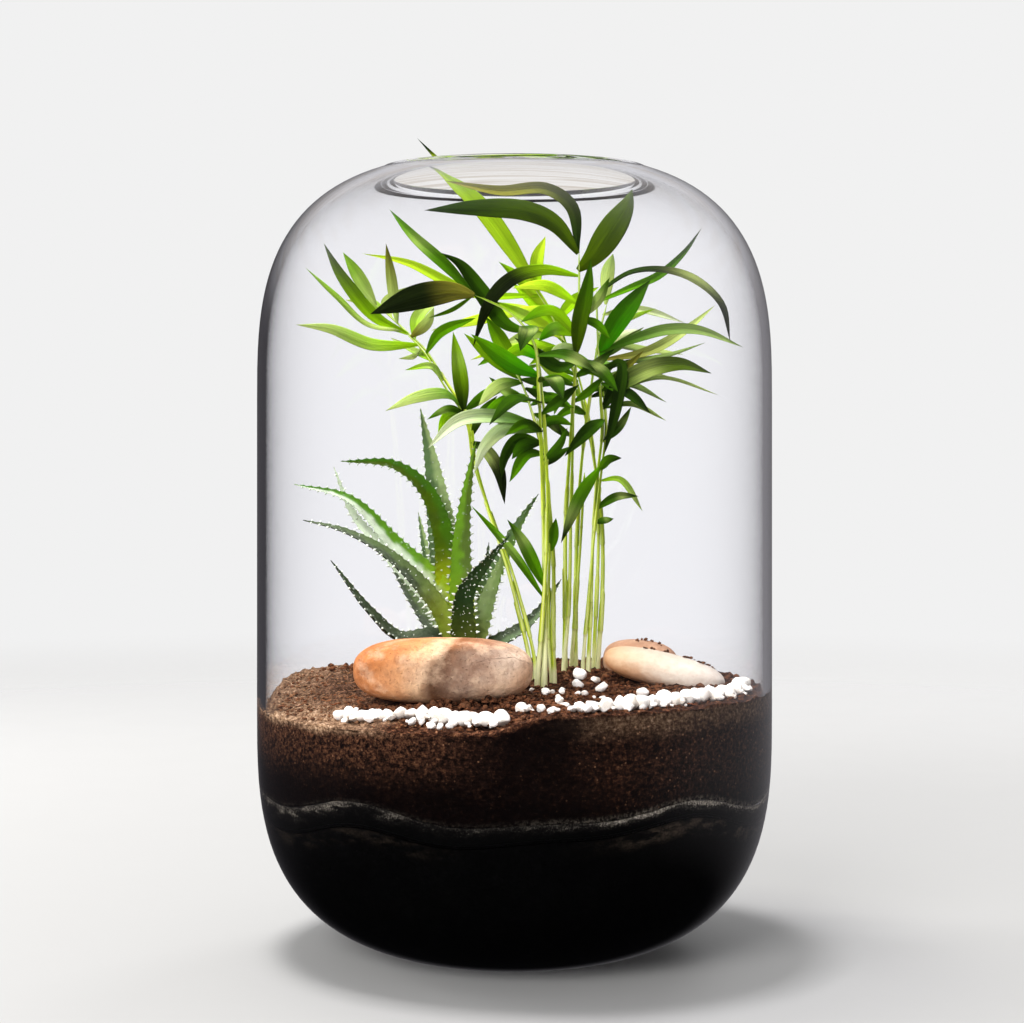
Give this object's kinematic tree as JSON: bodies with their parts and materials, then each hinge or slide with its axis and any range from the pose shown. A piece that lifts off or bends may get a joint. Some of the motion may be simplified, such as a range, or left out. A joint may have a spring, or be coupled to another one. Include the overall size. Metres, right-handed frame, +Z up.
{
  "type": "glass plant terrarium",
  "caption": "Clear glass jar with an open mouth, filled with gravel, sand and soil and planted with a spotted aloe, a parlour palm, stones and white pebbles.",
  "frame": {"origin": "middle of the jar's flat base, where it stands", "axes": "+Z up through the mouth, -Y towards the side with the large front stone, +X to its right"},
  "size_m": [0.18, 0.18, 0.2837],
  "materials": {
    "clear_glass": "polished",
    "black_gravel": "rough",
    "grey_sand": "rough",
    "dark_soil": "rough",
    "tan_stone": "rough",
    "pale_stone": "rough",
    "white_stone": "matte",
    "aloe_leaf": "satin",
    "palm_leaf": "satin"
  },
  "bodies": {
    "root": {"glass_jar": "clear_glass", "drainage_gravel": "black_gravel", "sand_layer": "grey_sand", "potting_soil": "dark_soil", "stone_front": "tan_stone", "stone_right": "pale_stone", "stone_rear": "tan_stone", "pebbles_left": "white_stone", "pebbles_middle": "white_stone", "pebbles_right": "white_stone", "pebble_1": "white_stone", "pebble_2": "white_stone", "pebble_3": "white_stone", "pebble_4": "white_stone", "pebble_5": "white_stone", "pebble_6": "white_stone", "pebble_7": "white_stone", "pebble_8": "white_stone", "aloe": "aloe_leaf", "palm_main": "palm_leaf", "palm_right": "palm_leaf", "palm_left": "palm_leaf", "palm_near": "palm_leaf", "palm_middle": "palm_leaf", "palm_rear": "palm_leaf", "palm_rear_right": "palm_leaf"}
  },
  "joints": []
}
